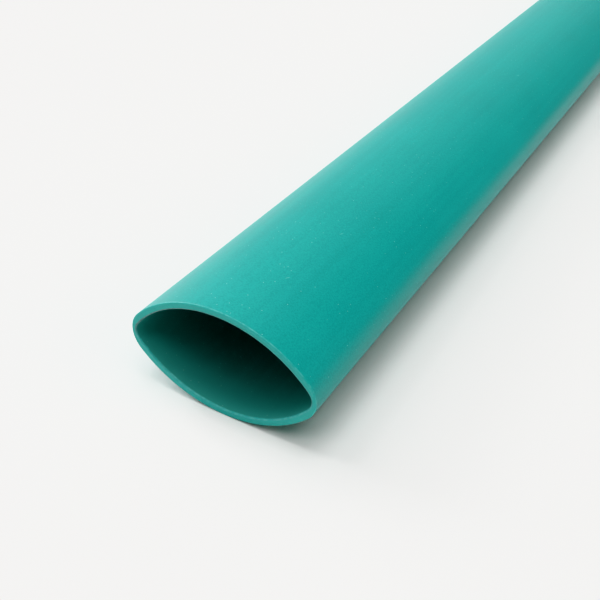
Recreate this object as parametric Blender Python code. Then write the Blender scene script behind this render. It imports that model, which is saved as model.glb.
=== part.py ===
"""A cut length of heat shrink tube, lying part flat as it comes off its reel. Metres, +Z up.

It is one extrusion of cross-linked plastic with one plain wall. On the reel it is pressed flat, which
leaves a rounded fold down each side. Cut off and eased open, it keeps a lens-shaped section: one arch
above and one below, which run smoothly into the two folds. The tube lies along Y, with its lowest line
on Z = 0 and with both ends cut square.
"""

import math

import bpy

MM = 0.001

# Driving sizes
TUBE_LENGTH = 300 * MM
FLAT_WIDTH = 27.4 * MM  # across the folds, outside
OPEN_HEIGHT = 16.5 * MM  # from the lowest line to the crown, outside
WALL = 1.0 * MM  # at the middle of each arch
FOLD_WALL = 0.7 * MM  # the creasing draws the wall thinner at the folds
FOLD_RADIUS = 4.1 * MM  # outside of a fold
CREASE_RADIUS = 2.0 * MM  # inside of a fold, tighter than the outside

# An odd count gives each arch a level middle facet, and the lower one is the facet that the tube lies on.
ARCH_FACETS = 31
FOLD_FACETS = 10

TEAL = (0.013, 0.376, 0.314, 1.0)
SATIN_ROUGHNESS = 0.42


def clear_scene():
    """Removes whatever the file opened with."""
    for old in list(bpy.data.objects):
        bpy.data.objects.remove(old)


def make_plastic():
    """Teal cross-linked polyolefin with a satin skin."""
    plastic = bpy.data.materials.new("teal_polyolefin")
    plastic.use_nodes = True
    shader = plastic.node_tree.nodes["Principled BSDF"]
    shader.inputs["Base Color"].default_value = TEAL
    shader.inputs["Roughness"].default_value = SATIN_ROUGHNESS
    shader.inputs["Metallic"].default_value = 0.0
    return plastic


def arc(centre, radius, start, stop, facets):
    """Points along an arc, from the angle start up to the angle stop, which is left to the next arc."""
    angles = [start + (stop - start) * step / facets for step in range(facets)]
    return [
        (centre[0] + radius * math.cos(angle), centre[1] + radius * math.sin(angle))
        for angle in angles
    ]


def lens_outline(half_width, half_height, fold_radius):
    """A closed oval of four arcs about the origin, each tangent to the next: fold, arch, fold, arch.

    A fold's circle touches the side at half_width. The arch's circle has the fold's circle inside it,
    touching it, and passes through the crown at half_height. The arch's radius follows from both.
    """
    fold_centre = half_width - fold_radius
    arch_radius = (fold_centre**2 + half_height**2 - fold_radius**2) / (
        2 * (half_height - fold_radius)
    )
    arch_drop = arch_radius - half_height
    meeting = math.atan2(arch_drop, fold_centre)
    right_fold = arc(
        (fold_centre, 0), fold_radius, -meeting, meeting, FOLD_FACETS
    )
    upper_arch = arc(
        (0, -arch_drop), arch_radius, meeting, math.pi - meeting, ARCH_FACETS
    )
    half = right_fold + upper_arch
    return half + [(-across, -up) for across, up in half]


def make_tube(collection):
    """The whole tube: its outer outline with the hollow's outline inside it, extruded both ways."""
    section = bpy.data.curves.new("tube_section", "CURVE")
    section.dimensions = "2D"
    section.fill_mode = "BOTH"
    section.extrude = TUBE_LENGTH / 2
    outside = lens_outline(FLAT_WIDTH / 2, OPEN_HEIGHT / 2, FOLD_RADIUS)
    hollow = lens_outline(
        FLAT_WIDTH / 2 - FOLD_WALL, OPEN_HEIGHT / 2 - WALL, CREASE_RADIUS
    )
    for outline in (outside, hollow):
        spline = section.splines.new("POLY")
        spline.points.add(len(outline) - 1)
        for point, (across, up) in zip(spline.points, outline):
            point.co = (across, up, 0.0, 1.0)
        spline.use_cyclic_u = True
    tube = bpy.data.objects.new("tube", section)
    tube.rotation_euler = (math.radians(90), 0, 0)
    tube.location = (0, 0, OPEN_HEIGHT / 2)
    section.materials.append(make_plastic())
    collection.objects.link(tube)
    return tube


def main():
    clear_scene()
    collection = bpy.data.collections.new("heat_shrink_tube")
    bpy.context.scene.collection.children.link(collection)
    make_tube(collection)


main()
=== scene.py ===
"""A cut length of teal heat shrink tube, lying part flat on a pale floor. Metres, +Z up.

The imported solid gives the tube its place, length, width and height. The tube lies along Y on its lower
arch, and the cut end that the camera sees faces -Y.
"""

import math

import bmesh
import bpy
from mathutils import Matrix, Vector


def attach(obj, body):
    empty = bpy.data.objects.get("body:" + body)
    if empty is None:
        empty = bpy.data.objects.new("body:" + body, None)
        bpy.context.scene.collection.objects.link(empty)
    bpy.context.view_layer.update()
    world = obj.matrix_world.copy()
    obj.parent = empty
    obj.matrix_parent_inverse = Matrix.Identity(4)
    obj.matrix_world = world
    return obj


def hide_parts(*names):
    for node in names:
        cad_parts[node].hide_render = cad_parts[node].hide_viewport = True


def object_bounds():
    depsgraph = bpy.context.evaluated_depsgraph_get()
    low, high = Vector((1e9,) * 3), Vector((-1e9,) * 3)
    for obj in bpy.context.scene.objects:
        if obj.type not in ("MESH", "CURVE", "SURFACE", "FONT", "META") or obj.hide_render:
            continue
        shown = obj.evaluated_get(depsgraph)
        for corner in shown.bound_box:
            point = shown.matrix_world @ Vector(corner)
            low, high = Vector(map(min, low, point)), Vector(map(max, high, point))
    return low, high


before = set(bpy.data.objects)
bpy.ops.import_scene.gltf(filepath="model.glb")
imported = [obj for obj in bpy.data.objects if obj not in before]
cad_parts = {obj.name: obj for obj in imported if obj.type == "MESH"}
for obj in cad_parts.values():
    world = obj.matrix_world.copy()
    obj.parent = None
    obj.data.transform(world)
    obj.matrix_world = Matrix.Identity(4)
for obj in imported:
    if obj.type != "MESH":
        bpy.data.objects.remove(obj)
cad_low, cad_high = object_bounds()

# Camera
# It looks down at the near cut end from close by, in front of the end and to its right, so that the
# tube runs away to the upper right and out of the picture.
MM = 0.001
MOUTH_CENTRE = Vector(
    ((cad_low.x + cad_high.x) / 2, cad_low.y, (cad_low.z + cad_high.z) / 2)
)
EYE_FROM_MOUTH = Vector((46.35, -57.77, 62.89)) * MM
PITCH_DOWN = math.radians(35.9)
TURN_LEFT = math.radians(31.07)
LENS_LENGTH = 47.56  # in millimetres, as the sensor's width is
SENSOR_WIDTH = 36
NEAREST_SEEN = 10 * MM

camera_data = bpy.data.cameras.new("camera")
camera_data.sensor_width = SENSOR_WIDTH
camera_data.lens = LENS_LENGTH
camera_data.clip_start = NEAREST_SEEN
camera = bpy.data.objects.new("camera", camera_data)
camera.location = MOUTH_CENTRE + EYE_FROM_MOUTH
camera.rotation_euler = (math.pi / 2 - PITCH_DOWN, 0, TURN_LEFT)
bpy.context.scene.collection.objects.link(camera)
bpy.context.scene.camera = camera

# Colours are shown as a product photograph has them: full in the middle tones, with soft whites.
bpy.context.scene.view_settings.view_transform = "Khronos PBR Neutral"

# Floor and light
# A plain matte white floor. Four softboxes hang over the tube, a low one stands at each side of it, and
# white cloth behind it and to its left fills the shadows.
FLOOR_SIDE = 8.0
FLOOR_WHITE = (0.802, 0.80, 0.792, 1)
FLOOR_ROUGHNESS = 0.9
FLOOR_GLOSS = 0.2
LAMP_DISTANCE = 1.0  # clear of the tube, and of no effect on the light
SOFTBOX_SPREAD = math.radians(30)
NEUTRAL = (1.0, 1.0, 1.0)
COOL = (0.98, 0.985, 1.0)
WARM = (1.0, 0.86, 0.75)
CLOTH_GREY = (0.62, 0.62, 0.62, 1)
ROOM_GREY = (0.02, 0.02, 0.02, 1)
CLOTH_TURN = math.radians(-48)
CLOTH_EDGE = 0.30  # the cloth starts where a direction's cosine to its middle is this
CLOTH_FULL = 0.60  # and is full from this on
BACKDROP_WHITE = (1.21, 1.20, 1.19, 1)


class Value:
    """A socket that gives a value. Arithmetic on it adds the Math nodes that work it out."""

    def __init__(self, nodes, socket):
        self.nodes = nodes
        self.socket = socket

    def __add__(self, other):
        return self.nodes.sum("ADD", self, other)

    def __sub__(self, other):
        return self.nodes.sum("SUBTRACT", self, other)

    def __rsub__(self, other):
        return self.nodes.sum("SUBTRACT", other, self)

    def __mul__(self, other):
        return self.nodes.sum("MULTIPLY", self, other)

    __radd__ = __add__
    __rmul__ = __mul__


class Nodes:
    """Adds nodes to one tree: each gets its settings first, then the values or links of its sockets."""

    def __init__(self, tree):
        self.tree = tree

    def connect(self, node, sockets):
        for name, given in sockets.items():
            if isinstance(given, Value):
                self.tree.links.new(given.socket, node.inputs[name])
            else:
                node.inputs[name].default_value = given

    def add(self, kind, settings, sockets, output=0):
        node = self.tree.nodes.new("ShaderNode" + kind)
        for name, setting in settings.items():
            setattr(node, name, setting)
        self.connect(node, sockets)
        return Value(self, node.outputs[output])

    def sum(self, operation, first, second):
        return self.add("Math", {"operation": operation}, {0: first, 1: second})

    def fade(self, value, start, full):
        """0 up to start, 1 from full on, and smooth between them. Start may be the larger one."""
        return self.add(
            "MapRange",
            {"interpolation_type": "SMOOTHSTEP"},
            {"Value": value, "From Min": start, "From Max": full},
        )

    def blend(self, mask, colour, masked_colour):
        """One colour where the mask is 0, the other where it is 1. The colour sockets go by number."""
        return self.add(
            "Mix",
            {"data_type": "RGBA"},
            {"Factor": mask, 6: colour, 7: masked_colour},
            output=2,
        )


def direction(turn, height):
    """The direction at a height above the floor, turned clockwise from +Y, away from the camera."""
    return Vector(
        (
            math.sin(turn) * math.cos(height),
            math.cos(turn) * math.cos(height),
            math.sin(height),
        )
    )


def put_softbox(name, turn, height, strength, colour):
    """A large round softbox that lights the whole floor alike. Its turn and height are in degrees."""
    lamp = bpy.data.lights.new(name, "SUN")
    lamp.angle = SOFTBOX_SPREAD
    lamp.energy = strength
    lamp.color = colour
    softbox = bpy.data.objects.new(name, lamp)
    towards = direction(math.radians(turn), math.radians(height))
    softbox.location = MOUTH_CENTRE + LAMP_DISTANCE * towards
    softbox.rotation_euler = towards.to_track_quat("Z", "Y").to_euler()
    bpy.context.scene.collection.objects.link(softbox)


bpy.ops.mesh.primitive_plane_add(size=FLOOR_SIDE, location=(0, 0, cad_low.z))
floor = bpy.context.active_object
floor.name = "floor"
floor_paint = bpy.data.materials.new("matte_white_floor")
floor_paint.use_nodes = True
floor_shader = floor_paint.node_tree.nodes["Principled BSDF"]
floor_shader.inputs["Base Color"].default_value = FLOOR_WHITE
floor_shader.inputs["Roughness"].default_value = FLOOR_ROUGHNESS
floor_shader.inputs["Specular IOR Level"].default_value = FLOOR_GLOSS
floor.data.materials.append(floor_paint)

put_softbox("middle_softbox", turn=-10, height=85, strength=1.17, colour=COOL)
put_softbox("right_softbox", turn=112, height=65, strength=0.98, colour=NEUTRAL)
put_softbox("left_softbox", turn=-90, height=55, strength=0.85, colour=NEUTRAL)
put_softbox("front_softbox", turn=-170, height=60, strength=0.70, colour=NEUTRAL)
put_softbox("low_left_softbox", turn=-82, height=25, strength=1.60, colour=NEUTRAL)
put_softbox("low_right_softbox", turn=85, height=27, strength=0.49, colour=WARM)

# The cloth lights the tube, and the camera sees an even backdrop in its place.
room = bpy.data.worlds.new("white_cloth")
room.use_nodes = True
room_nodes = Nodes(room.node_tree)
looking = room_nodes.add("TexCoord", {}, {}, output="Generated")
near_middle = room_nodes.add(
    "VectorMath",
    {"operation": "DOT_PRODUCT"},
    {0: looking, 1: direction(CLOTH_TURN, 0)},
    output="Value",
)
cloth = room_nodes.blend(
    room_nodes.fade(near_middle, CLOTH_EDGE, CLOTH_FULL), ROOM_GREY, CLOTH_GREY
)
seen_directly = room_nodes.add("LightPath", {}, {}, output="Is Camera Ray")
room_nodes.connect(
    room.node_tree.nodes["Background"],
    {"Color": room_nodes.blend(seen_directly, cloth, BACKDROP_WHITE)},
)
bpy.context.scene.world = room


# Tube
# One extrusion of cross-linked polyolefin with a satin skin. It was pressed flat on its reel, which left
# a rounded fold down each side, then cut square with a blade and eased open to a lens-shaped section.
HALF_WIDTH = (cad_high.x - cad_low.x) / 2
HALF_HEIGHT = (cad_high.z - cad_low.z) / 2
TUBE_LENGTH = cad_high.y - cad_low.y
WALL = 1.0 * MM
FOLD_WALL = 0.7 * MM
FOLD_RADIUS = 4.1 * MM
CREASE_RADIUS = 2.0 * MM  # the hollow's, inside each fold
OUTER_LIP = 0.15 * MM  # how far the cut rounds the outside edge over
OUTER_LIP_STEPS = 3
INNER_LIP = 0.20 * MM
INNER_LIP_STEPS = 4
SHARP_CORNER = math.radians(60)
CUT_STRIP = 0.12 * MM  # a strip of the cut face beside each lip, of which the inner one takes the inner lip's smears and painted light
LIP_SUPPORTS = (0.24 * MM, 1.2 * MM)  # rings that keep the lips' roundness from spreading down the tube
BURR = 0.04 * MM  # how ragged the blade leaves the inner lip
BURR_PITCH = 0.6 * MM
SAME_PLACE = 0.01 * MM  # points closer together than this are one
HALF_ARCH_STEPS = 60
FOLD_STEPS = 40
RINGS = 60


def deselect_all():
    for other in bpy.context.selected_objects:
        other.select_set(False)


def sweep(across, up, angle, steps):
    """Spins the selected edge anticlockwise, seen from -Y, about the line along Y at that place."""
    bpy.ops.mesh.spin(
        steps=steps, angle=angle, center=(across, 0, up), axis=(0, 1, 0)
    )


def select_only(piece, kind, wanted):
    """Selects just the edges, or the faces, of a piece in edit mode for which wanted(part) holds."""
    bpy.ops.mesh.select_mode(type=kind)
    bpy.ops.mesh.select_all(action="DESELECT")
    mesh = bmesh.from_edit_mesh(piece.data)
    for part in mesh.faces if kind == "FACE" else mesh.edges:
        part.select_set(wanted(part))
    bmesh.update_edit_mesh(piece.data)


def lens_sleeve(name, half_width, half_height, fold_radius, facing_in):
    """An open sleeve of four arcs, swept from one narrow strip along its lowest line."""
    fold_centre = half_width - fold_radius
    arch_radius = (fold_centre**2 + half_height**2 - fold_radius**2) / (
        2 * (half_height - fold_radius)
    )
    arch_drop = arch_radius - half_height
    meeting = math.atan2(arch_drop, fold_centre)
    step = (math.pi / 2 - meeting) / (HALF_ARCH_STEPS + 0.5)
    middle_up = MOUTH_CENTRE.z
    strip_up = middle_up + arch_drop - arch_radius * math.cos(step / 2)

    deselect_all()
    bpy.ops.mesh.primitive_grid_add(
        x_subdivisions=1, y_subdivisions=RINGS, size=1, location=(0, 0, strip_up)
    )
    sleeve = bpy.context.active_object
    sleeve.name = name
    sleeve.scale = (2 * arch_radius * math.sin(step / 2), TUBE_LENGTH, 1)
    bpy.ops.object.transform_apply(location=True, rotation=False, scale=True)
    bpy.ops.object.mode_set(mode="EDIT")
    for inset in LIP_SUPPORTS:
        for ring in (cad_low.y + inset, cad_high.y - inset):
            bpy.ops.mesh.select_all(action="SELECT")
            bpy.ops.mesh.bisect(plane_co=(0, ring, 0), plane_no=(0, 1, 0))
    select_only(
        sleeve, "EDGE", lambda edge: all(vertex.co.x > 0 for vertex in edge.verts)
    )

    half_arch = HALF_ARCH_STEPS * step
    sweep(0, middle_up + arch_drop, half_arch, HALF_ARCH_STEPS)
    sweep(fold_centre, middle_up, 2 * meeting, FOLD_STEPS)
    sweep(0, middle_up - arch_drop, 2 * half_arch + step, 2 * HALF_ARCH_STEPS + 1)
    sweep(-fold_centre, middle_up, 2 * meeting, FOLD_STEPS)
    sweep(0, middle_up + arch_drop, half_arch, HALF_ARCH_STEPS)
    bpy.ops.mesh.select_all(action="SELECT")
    bpy.ops.mesh.remove_doubles(threshold=SAME_PLACE)
    bpy.ops.mesh.normals_make_consistent(inside=facing_in)
    bpy.ops.object.mode_set(mode="OBJECT")
    return sleeve


def at_end(part, end):
    """Whether an edge or a face lies in the plane of the cut at that end."""
    return all(abs(vertex.co.y - end) < SAME_PLACE for vertex in part.verts)


def faces_out(place, normal):
    """Whether a face with that normal, at that place, is on the tube's outside and not in its hollow."""
    outwards = place - MOUTH_CENTRE
    outwards.y = 0
    return normal.dot(outwards) > 0


def is_lip(edge, outside_lip):
    """Whether an edge is a sharp corner between a cut face and the outside, or else the hollow."""
    if len(edge.link_faces) != 2 or edge.calc_face_angle() < SHARP_CORNER:
        return False
    wall = min(edge.link_faces, key=lambda face: abs(face.normal.y))
    return faces_out(edge.verts[0].co, wall.normal) == outside_lip


outside = lens_sleeve("tube_sleeve", HALF_WIDTH, HALF_HEIGHT, FOLD_RADIUS, False)
hollow = lens_sleeve(
    "hollow", HALF_WIDTH - FOLD_WALL, HALF_HEIGHT - WALL, CREASE_RADIUS, True
)
outside.select_set(True)
bpy.context.view_layer.objects.active = outside
bpy.ops.object.join()
tube = bpy.context.active_object
bpy.ops.object.mode_set(mode="EDIT")
for end in (cad_low.y, cad_high.y):
    select_only(tube, "EDGE", lambda edge: at_end(edge, end))
    bpy.ops.mesh.bridge_edge_loops()
bpy.ops.mesh.select_all(action="SELECT")
bpy.ops.mesh.normals_make_consistent(inside=False)
select_only(tube, "EDGE", lambda edge: is_lip(edge, True))
bpy.ops.mesh.bevel(offset=OUTER_LIP, segments=OUTER_LIP_STEPS)
select_only(tube, "EDGE", lambda edge: is_lip(edge, False))
bpy.ops.mesh.bevel(offset=INNER_LIP, segments=INNER_LIP_STEPS)
bpy.ops.object.vertex_group_assign_new()
select_only(
    tube, "FACE", lambda face: at_end(face, cad_low.y) or at_end(face, cad_high.y)
)
bpy.ops.mesh.inset(thickness=CUT_STRIP)
bpy.ops.object.mode_set(mode="OBJECT")
bpy.ops.object.shade_smooth()

# The blade leaves the inner lip, which is the mesh's one vertex group, a little ragged.
burr_noise = bpy.data.textures.new("burr", "CLOUDS")
burr_noise.noise_scale = BURR_PITCH
burr = tube.modifiers.new("burr", "DISPLACE")
burr.texture = burr_noise
burr.texture_coords = "LOCAL"
burr.strength = BURR
burr.vertex_group = tube.vertex_groups[0].name
bpy.ops.object.modifier_apply(modifier=burr.name)

# Its finishes: the satin skin with dust and scratches, the hollow painted darker as shade, the cut faces
# and their lips with painted light.
# In their sums, each number is the share that a pattern has in a colour, a roughness or a height.
TEAL = (0.012, 0.344, 0.315, 1)
TEAL_FULL = (0.007, 0.282, 0.259, 1)
# The hollow is painted darker than the skin as shade, and darker and greyer deep inside as painted shade
# and a painted haze.
HOLLOW_SHADED_TEAL = (0.055, 0.285, 0.248, 1)
HOLLOW_DEEP_SHADE = (0.085, 0.148, 0.139, 1)
HOLLOW_SHADE_FADES = (0.5 * MM, 12 * MM)  # how far in from each end the painted deep shade of the hollow starts, and where it is full
# The cut faces are painted a lighter teal than the skin, as painted light for the light they catch from
# the front.
CUT_TEAL = (0.030, 0.405, 0.362, 1)
CUT_PALE = (0.040, 0.460, 0.414, 1)
# Painted light on the lips: the lower outer lip is painted pale as a highlight, and the upper inner lip
# grey as a reflection of the floor.
OUTER_LIP_LOW_HIGHLIGHT = (0.036, 0.460, 0.430, 1)
OUTER_LIP_HIGH = (0.016, 0.350, 0.320, 1)
INNER_LIP_LOW = (0.042, 0.370, 0.345, 1)
INNER_LIP_HIGH_REFLECTION = (0.080, 0.180, 0.172, 1)
SMEAR_PALE = (0.140, 0.530, 0.490, 1)
LIP_TURNS = 1.5 * MM  # how far above and below the middle the low colour of a lip meets the high one
DUST = (0.34, 0.80, 0.75, 1)
SKIN_ROUGHNESS = 0.38
HOLLOW_ROUGHNESS = 0.48
CUT_ROUGHNESS = 0.50
LIP_ROUGHNESS = 0.40
SKIN_TONES = (0.35, 0.65)  # the pattern's values where the full teal ends and the paler one is reached
CUT_TONES = (0.35, 0.75)
SMEAR_TONES = (0.35, 0.65)
DRAWN_OUT = (1, 0.02, 1)  # the die draws its lines fifty times as long as wide, along the tube
DIE_LINE_PITCH = 0.9 * MM
CLOUD_PITCH = 14 * MM
GRAIN_PITCH = 0.20 * MM
DUST_PITCH = 0.85 * MM
DUST_RADIUS = 0.072 * MM
DUST_LIES = (-0.2, 0.6)  # how far up the skin faces where dust starts to lie, and where it all does
SPECK_CORE = 0.4  # the part of a speck's radius that is solid
HOLLOW_DUST_RADIUS = 0.10 * MM
SCRATCH_PITCH = 1.5 * MM
SCRATCH_RADIUS = 0.06 * MM
SCRATCH_STRETCH = (1, 0.05, 1)
SCRATCH_TURN = (0, 0, 0.5)  # in radians, away from the tube's length
BLADE_STRETCH = (0.15, 1, 1)  # the blade's lines run across the tube
BLADE_LINE_PITCH = 0.12 * MM
CUT_PATCH_PITCH = 1.5 * MM
SMEAR_PITCH = 0.6 * MM
SKIN_RELIEF = 0.014 * MM
HOLLOW_RELIEF = 0.010 * MM
CUT_RELIEF = 0.003 * MM
CUT_FACES_ALONG = 0.93  # a face whose normal lies along the tube by more than this is a cut's
LIP_FACES_ALONG = 0.10  # and one that does so by more than this, but less than a cut's, is a lip's


def noise(nodes, place, pitch, detail):
    """Smooth noise, about 0.5, whose blots are a pitch apart."""
    return nodes.add(
        "TexNoise", {}, {"Vector": place, "Scale": 1 / pitch, "Detail": detail}
    )


def specks(nodes, place, pitch, radius):
    """Small spots, where the surface passes close by the middle of a random cell."""
    distance = nodes.add(
        "TexVoronoi", {"feature": "F1"}, {"Vector": place, "Scale": 1 / pitch}
    )
    return nodes.fade(distance, radius / pitch, SPECK_CORE * radius / pitch)


def stretch(nodes, place, scale):
    """A place that draws a pattern out along the axes whose scale is less than 1."""
    return nodes.add("Mapping", {}, {"Vector": place, "Scale": scale})


def relief(nodes, height, depth):
    return nodes.add("Bump", {}, {"Height": height, "Distance": depth}, output="Normal")


def new_finish(name):
    material = bpy.data.materials.new(name)
    material.use_nodes = True
    nodes = Nodes(material.node_tree)
    place = nodes.add("TexCoord", {}, {}, output="Object")
    return material, nodes, place


def finish_skin():
    """Satin skin: faint draw lines from the die, a soft grain, and dust and a few scratches on top."""
    material, nodes, place = new_finish("teal_skin")
    die_lines = noise(nodes, stretch(nodes, place, DRAWN_OUT), DIE_LINE_PITCH, detail=2)
    clouds = noise(nodes, place, CLOUD_PITCH, detail=3)
    grain = noise(nodes, place, GRAIN_PITCH, detail=1)
    normal = nodes.add("NewGeometry", {}, {}, output="Normal")
    upwards = nodes.add("SeparateXYZ", {}, {"Vector": normal}, output="Z")
    dust = specks(nodes, place, DUST_PITCH, DUST_RADIUS) * nodes.fade(upwards, *DUST_LIES)
    turned = nodes.add("Mapping", {}, {"Vector": place, "Rotation": SCRATCH_TURN})
    scratches = specks(
        nodes,
        stretch(nodes, turned, SCRATCH_STRETCH),
        SCRATCH_PITCH,
        SCRATCH_RADIUS,
    )
    tone = nodes.fade(0.2 * clouds + 0.2 * die_lines + 0.6 * grain, *SKIN_TONES)
    marks = 0.70 * dust + 0.40 * scratches
    height = 0.7 * grain + 0.2 * die_lines + 0.7 * dust - 0.5 * scratches
    nodes.connect(
        material.node_tree.nodes["Principled BSDF"],
        {
            "Base Color": nodes.blend(marks, nodes.blend(tone, TEAL_FULL, TEAL), DUST),
            "Roughness": SKIN_ROUGHNESS + 0.10 * clouds + 0.06 * grain + 0.3 * dust,
            "Normal": relief(nodes, height, SKIN_RELIEF),
        },
    )
    return material


def finish_hollow():
    """The hollow: rougher than the skin and painted darker as shade, darker and greyer deep inside as
    painted shade and haze, with dust that fell in.
    """
    material, nodes, place = new_finish("teal_hollow")
    die_lines = noise(nodes, stretch(nodes, place, DRAWN_OUT), DIE_LINE_PITCH, detail=2)
    grain = noise(nodes, place, GRAIN_PITCH, detail=1)
    dust = specks(nodes, place, DUST_PITCH, HOLLOW_DUST_RADIUS)
    along = nodes.add("SeparateXYZ", {}, {"Vector": place}, output="Y")
    from_ends = [
        nodes.fade(along, end + side * HOLLOW_SHADE_FADES[0], end + side * HOLLOW_SHADE_FADES[1])
        for end, side in ((cad_low.y, 1), (cad_high.y, -1))
    ]
    # Painted shade and haze: the hollow turns darker and greyer further in from each end.
    deep = from_ends[0] * from_ends[1] * (0.6 + 0.4 * die_lines + 0.4 * grain)
    nodes.connect(
        material.node_tree.nodes["Principled BSDF"],
        {
            "Base Color": nodes.blend(
                0.3 * dust, nodes.blend(deep, HOLLOW_SHADED_TEAL, HOLLOW_DEEP_SHADE), DUST
            ),
            "Roughness": HOLLOW_ROUGHNESS + 0.12 * die_lines,
            "Normal": relief(nodes, die_lines + grain + 2.0 * dust, HOLLOW_RELIEF),
        },
    )
    return material


def finish_cut():
    """A cut face: matter than the skin and painted lighter than it as painted light, with the blade's
    fine lines across it.
    """
    material, nodes, place = new_finish("teal_cut")
    across = stretch(nodes, place, BLADE_STRETCH)
    blade_lines = noise(nodes, across, BLADE_LINE_PITCH, detail=2)
    patches = noise(nodes, place, CUT_PATCH_PITCH, detail=2)
    tone = nodes.fade(0.6 * blade_lines + 0.4 * patches, *CUT_TONES)
    nodes.connect(
        material.node_tree.nodes["Principled BSDF"],
        {
            "Base Color": nodes.blend(tone, CUT_TEAL, CUT_PALE),
            "Roughness": CUT_ROUGHNESS + 0.15 * blade_lines,
            "Normal": relief(nodes, blade_lines, CUT_RELIEF),
        },
    )
    return material


def finish_lip(name, low_teal, high_teal):
    """A lip that the blade dragged over: smeared, pale where it stretched, with painted light that
    differs between the lower and the upper arch.
    """
    material, nodes, place = new_finish(name)
    smears = noise(nodes, place, SMEAR_PITCH, detail=2)
    up = nodes.add("SeparateXYZ", {}, {"Vector": place}, output="Z")
    is_high = nodes.fade(up, MOUTH_CENTRE.z - LIP_TURNS, MOUTH_CENTRE.z + LIP_TURNS)
    teal = nodes.blend(is_high, low_teal, high_teal)
    nodes.connect(
        material.node_tree.nodes["Principled BSDF"],
        {
            "Base Color": nodes.blend(
                0.35 * nodes.fade(smears, *SMEAR_TONES), teal, SMEAR_PALE
            ),
            "Roughness": LIP_ROUGHNESS + 0.12 * smears,
        },
    )
    return material


SKIN, HOLLOW, CUT, OUTSIDE_LIP, INSIDE_LIP = range(5)
for finish in (
    finish_skin(),
    finish_hollow(),
    finish_cut(),
    finish_lip("teal_outer_lip", OUTER_LIP_LOW_HIGHLIGHT, OUTER_LIP_HIGH),
    finish_lip("teal_inner_lip", INNER_LIP_LOW, INNER_LIP_HIGH_REFLECTION),
):
    tube.data.materials.append(finish)
tube_mesh = bmesh.new()
tube_mesh.from_mesh(tube.data)
for face in tube_mesh.faces:
    on_outside = faces_out(face.calc_center_median(), face.normal)
    if abs(face.normal.y) > CUT_FACES_ALONG:
        face.material_index = CUT
    elif abs(face.normal.y) > LIP_FACES_ALONG:
        face.material_index = OUTSIDE_LIP if on_outside else INSIDE_LIP
    else:
        face.material_index = SKIN if on_outside else HOLLOW
# The strip of each cut beside its inner lip takes that lip's colours, with their smears and painted
# light.
inner_strip = [
    face
    for face in tube_mesh.faces
    if face.material_index == CUT
    and any(
        beside.material_index == INSIDE_LIP
        for edge in face.edges
        for beside in edge.link_faces
    )
]
for face in inner_strip:
    face.material_index = INSIDE_LIP
tube_mesh.to_mesh(tube.data)
tube_mesh.free()

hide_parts("tube")
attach(tube, "root")
